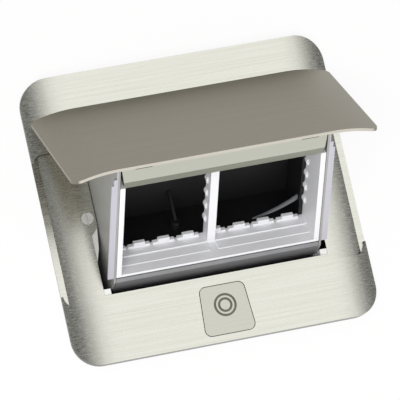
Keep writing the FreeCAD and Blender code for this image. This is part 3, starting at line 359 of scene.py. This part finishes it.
cheek_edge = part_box("drum_skin")[1].x + FLANGE_PAST_SKIN
cheek_steel = zinc("zinc_plated_cheek", "#B4B4B2", "#A5A5A2", 0.42, metallic=0.5,
                   flange=(cheek_edge, "#CBC9D2"))
skin_steel = zinc("dark_zinc_skin", "#A6A6A8", "#949496", 0.42, metallic=0.5)
galvanised = zinc("galvanised_sheet", "#A4A8AA", "#8E9396", 0.45)
bright_steel = zinc("bright_steel", "#B4B4B2", "#A2A2A0", 0.28, patch=3)
screw_nickel = zinc("nickel_screw", "#E6E6E2", "#D8D8D4", 0.25, patch=2, metallic=0.5)
spring_steel = zinc("oiled_spring_steel", "#6A6A6E", "#58585C", 0.30, patch=2)
print("six sheet and wire finishes")

# %% [markdown]
# ## Moulded plastic, nylon and rubber
# The bay frame is white moulded ABS with a half gloss; the shell behind it is
# the same in black. Moulding leaves a very fine orange-peel. Nylon is a little
# duller than the bay frame, and rubber is almost black and dull.

# %% Plastics
def moulded(name, base, roughness, grain, depth):
    """Moulded material with a grain of the given size and depth in millimetres."""
    material, tree, shader = new_material(name, base, 0.0, roughness)
    place = add(tree, "ShaderNodeTexCoord")
    peel = add(tree, "ShaderNodeTexNoise", {"Vector": place.outputs["Object"],
               "Scale": 1 / (grain * MM), "Detail": 2.0})
    vary_roughness(tree, shader, peel, roughness, 0.05)
    bump = add(tree, "ShaderNodeBump", {"Height": peel.outputs["Fac"], "Strength": 0.25,
               "Distance": depth * MM})
    tree.links.new(bump.outputs[0], shader.inputs["Normal"])
    return material


white_abs = moulded("white_abs", "#E9E9EC", 0.38, 1.4, 0.01)
black_abs = moulded("black_abs", "#141414", 0.50, 1.2, 0.03)
white_nylon = moulded("white_nylon", "#F2F2F0", 0.40, 2.0, 0.02)
grey_nylon = moulded("natural_nylon", "#CFCEC9", 0.45, 2.0, 0.02)
rubber = moulded("black_rubber", "#1B1B1B", 0.75, 0.8, 0.04)
strap_plastic = moulded("grey_strap_plastic", "#6F7173", 0.45, 1.5, 0.02)
print("six moulded finishes")

# %% Dress the solid nodes
DRESS = {
    "trim_frame": nickel, "floor_gasket": rubber, "frame_screws": screw_nickel,
    "back_box": galvanised, "conduit_grommets": rubber,
    "hinge_bracket_left": galvanised, "hinge_bracket_right": galvanised,
    "hinge_pin": bright_steel, "pin_clips": spring_steel,
    "torsion_spring_left": spring_steel, "torsion_spring_right": spring_steel,
    "buffer_left": white_nylon, "buffer_right": white_nylon,
    "guide_left": grey_nylon, "guide_right": grey_nylon, "latch_housing": black_abs,
    "housing_screws": bright_steel, "cable_tie": black_abs, "cable_strap": strap_plastic,
    "lid": lid_nickel, "lid_stiffener": galvanised, "lid_pads": rubber,
    "side_plate_left": cheek_steel, "side_plate_right": cheek_steel,
    "hinge_bushes": white_nylon, "drum_skin": skin_steel, "module_frame": white_abs,
    "back_shell": black_abs, "trim_bar": bar_nickel, "button": button_nickel,
    "latch_bolt": bright_steel, "button_spring": spring_steel,
}
for name, piece in frame["nodes"].items():
    piece.data.materials.clear()
    piece.data.materials.append(DRESS[name])
print("dressed", len(DRESS), "nodes")

# %% [markdown]
# ## Rivets
# Each hinge bracket is held to the back wall of the box by two rivets, whose
# domed heads show on the outside. The solid model has no rivets. Four points
# mark the places, and a Geometry Nodes group sets one head on each of them.

# %% Rivets
def rivet_group():
    """Geometry nodes: a domed head, facing the rear, on every point of a mesh."""
    group = bpy.data.node_groups.new("rivet_heads", "GeometryNodeTree")
    group.is_modifier = True
    for name, kind in (("Points", "NodeSocketGeometry"), ("Radius", "NodeSocketFloat"),
                       ("Dome", "NodeSocketFloat"), ("Finish", "NodeSocketMaterial")):
        group.interface.new_socket(name, in_out="INPUT", socket_type=kind)
    group.interface.new_socket("Heads", in_out="OUTPUT", socket_type="NodeSocketGeometry")
    given = add(group, "NodeGroupInput")
    head = add(group, "GeometryNodeMeshUVSphere", {"Segments": 24, "Rings": 12, "Radius": 1.0})
    size = add(group, "ShaderNodeCombineXYZ", {"X": given.outputs["Radius"],
               "Y": given.outputs["Dome"], "Z": given.outputs["Radius"]})
    placed = add(group, "GeometryNodeInstanceOnPoints", {"Points": given.outputs["Points"],
                 "Instance": head.outputs["Mesh"], "Scale": size.outputs[0]})
    real = add(group, "GeometryNodeRealizeInstances", {"Geometry": placed.outputs[0]})
    done = add(group, "GeometryNodeSetMaterial", {"Geometry": real.outputs[0],
               "Material": given.outputs["Finish"]})
    add(group, "NodeGroupOutput", {"Heads": done.outputs[0]})
    return group


RIVET_APART, RIVET_RADIUS, RIVET_DOME = 9 * MM, 2.6 * MM, 0.7 * MM
RIVET_INWARD = 0.45             # share of the bracket's width, from its outer side
spots = []
for side in ("left", "right"):
    low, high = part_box("hinge_bracket_" + side)
    inward = RIVET_INWARD * (high.x - low.x)
    x = low.x + inward if side == "left" else high.x - inward
    for half in (-0.5, 0.5):
        spots.append((x, box_high.y, (low.z + high.z) / 2 + half * RIVET_APART))
points = bpy.data.meshes.new("rivet_points")
points.from_pydata(spots, [], [])
marks = bpy.data.objects.new("rivet_points", points)
bpy.context.scene.collection.objects.link(marks)
heads = marks.modifiers.new("heads", "NODES")
heads.node_group = rivet_group()
for item in heads.node_group.interface.items_tree:
    setting = {"Radius": RIVET_RADIUS, "Dome": RIVET_DOME, "Finish": bright_steel}.get(item.name)
    if setting is not None:
        heads[item.identifier] = setting
ready = marks.evaluated_get(bpy.context.evaluated_depsgraph_get())
rivets = bpy.data.objects.new("bracket_rivets", bpy.data.meshes.new_from_object(ready))
bpy.data.objects.remove(marks)
bpy.context.scene.collection.objects.link(rivets)
rivets.data.shade_smooth()
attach(rivets, "base")
print(len(spots), "rivet heads of", len(rivets.data.vertices), "vertices in all")

# %% [markdown]
# ## The bay frame's tabs
# The solid's tabs stand a little way in from the sill's rear edge. Seen from
# the front they read against the dark bays, so this cell copies the bay frame,
# slides its tabs back to that edge, makes them about a third taller, and rounds its
# edges as a mould does. The copy stands for the solid, whose tabs stay where they
# are, so the two differ there.

# %% Bay frame
bay_low, bay_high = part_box("module_frame")
wide, high = bay_high.y - bay_low.y, bay_high.z - bay_low.z
# A leaning block's upright box gives the block's own depth.
deep = (wide * cosine - high * sine) / (cosine ** 2 - sine ** 2)
corner = Vector((0, bay_low.y, bay_low.z + sine * deep))
print("bay frame", round(1000 * deep, 2), "mm deep")
SILL, TAB_BACK, TAB_FRONT, TAB_TOP = 2.2 * MM, 14.5 * MM, 12.5 * MM, 4.3 * MM
TALLER, SHY, ROUND = 1.35, 0.25 * MM, 0.2 * MM
mesh = bmesh.new()
mesh.from_mesh(frame["nodes"]["module_frame"].data)
slack = 0.05 * MM
for vert in mesh.verts:
    rise, depth = (vert.co - corner).dot(rise_way), (vert.co - corner).dot(depth_way)
    if SILL - slack < rise < TAB_TOP + slack and TAB_FRONT - slack < depth < TAB_BACK + slack:
        vert.co += (deep - SHY - TAB_BACK) * depth_way + (TALLER - 1) * (rise - SILL) * rise_way
bay_frame = bpy.data.objects.new("bay_frame", bpy.data.meshes.new("bay_frame"))
bmesh.ops.remove_doubles(mesh, verts=mesh.verts, dist=0.001 * MM)
bmesh.ops.dissolve_limit(mesh, angle_limit=math.radians(1), verts=mesh.verts, edges=mesh.edges)
mesh.to_mesh(bay_frame.data)
mesh.free()
bpy.context.scene.collection.objects.link(bay_frame)
bay_frame.data.materials.append(white_abs)
soften = bay_frame.modifiers.new("soften", "BEVEL")
soften.width, soften.segments, soften.limit_method = ROUND, 2, "ANGLE"
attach(bay_frame, "cradle")
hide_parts("module_frame")
